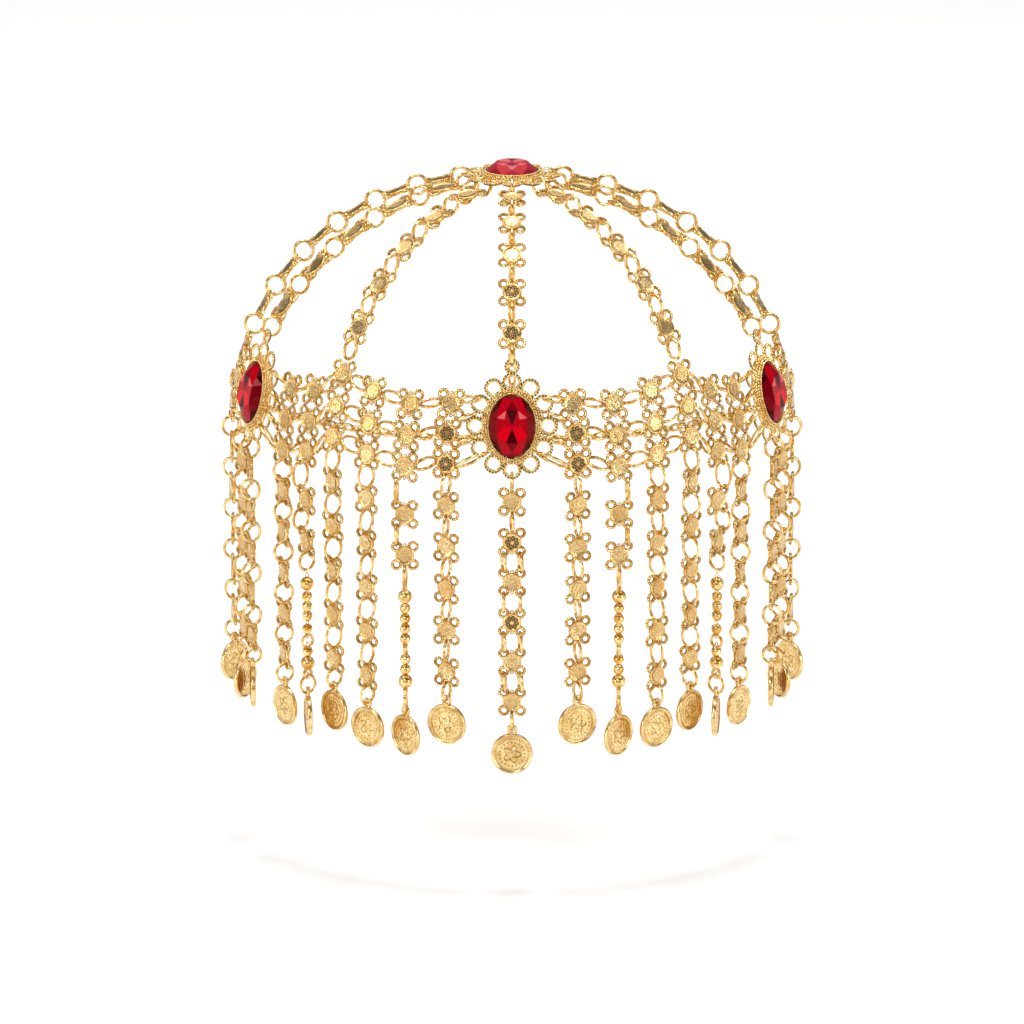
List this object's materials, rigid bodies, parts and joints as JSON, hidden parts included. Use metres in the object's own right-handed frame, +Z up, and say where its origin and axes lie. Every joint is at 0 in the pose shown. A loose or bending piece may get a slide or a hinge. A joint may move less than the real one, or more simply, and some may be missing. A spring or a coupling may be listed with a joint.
{
  "type": "tassel head chain",
  "caption": "Head chain of pierced plates and rings over a dome, with cut red stones in petal settings, a brow band and hanging tassels that end in coins.",
  "frame": {"origin": "middle of the crown medallion's flat underside, where it sits on top of the head", "axes": "+Z up; the front medallion is towards -Y; +X towards the wearer's left ear"},
  "size_m": [0.1732, 0.173, 0.1644],
  "materials": {
    "gold": "warm yellow gold plating, polished, with milled edges",
    "red_glass": "clear deep red cut glass over foil"
  },
  "bodies": {
    "root": {"crown_setting": "gold", "front_setting": "gold", "side_r_setting": "gold", "side_l_setting": "gold", "dome_chain_front": "gold", "dome_chain_a_r": "gold", "dome_chain_a_l": "gold", "dome_chain_b_r": "gold", "dome_chain_b_l": "gold", "dome_chain_c_r": "gold", "dome_chain_c_l": "gold", "band_front_r": "gold", "band_front_l": "gold", "band_side_r": "gold", "band_side_l": "gold", "tassel_01_chain": "gold", "tassel_02_chain": "gold", "tassel_03_chain": "gold", "tassel_04_chain": "gold", "tassel_05_chain": "gold", "tassel_06_chain": "gold", "tassel_07_chain": "gold", "tassel_08_chain": "gold", "tassel_09_chain": "gold", "tassel_10_chain": "gold", "tassel_11_chain": "gold", "tassel_12_chain": "gold", "tassel_13_chain": "gold", "tassel_14_chain": "gold", "tassel_15_chain": "gold", "tassel_16_chain": "gold", "tassel_17_chain": "gold", "tassel_18_chain": "gold", "tassel_19_chain": "gold", "tassel_01_coin": "gold", "tassel_02_coin": "gold", "tassel_03_coin": "gold", "tassel_04_coin": "gold", "tassel_05_coin": "gold", "tassel_06_coin": "gold", "tassel_07_coin": "gold", "tassel_08_coin": "gold", "tassel_09_coin": "gold", "tassel_10_coin": "gold", "tassel_11_coin": "gold", "tassel_12_coin": "gold", "tassel_13_coin": "gold", "tassel_14_coin": "gold", "tassel_15_coin": "gold", "tassel_16_coin": "gold", "tassel_17_coin": "gold", "tassel_18_coin": "gold", "tassel_19_coin": "gold", "back_chain": "gold", "crown_back_chain": "gold", "crown_stone": "red_glass", "front_stone": "red_glass", "side_r_stone": "red_glass", "side_l_stone": "red_glass"}
  },
  "joints": []
}
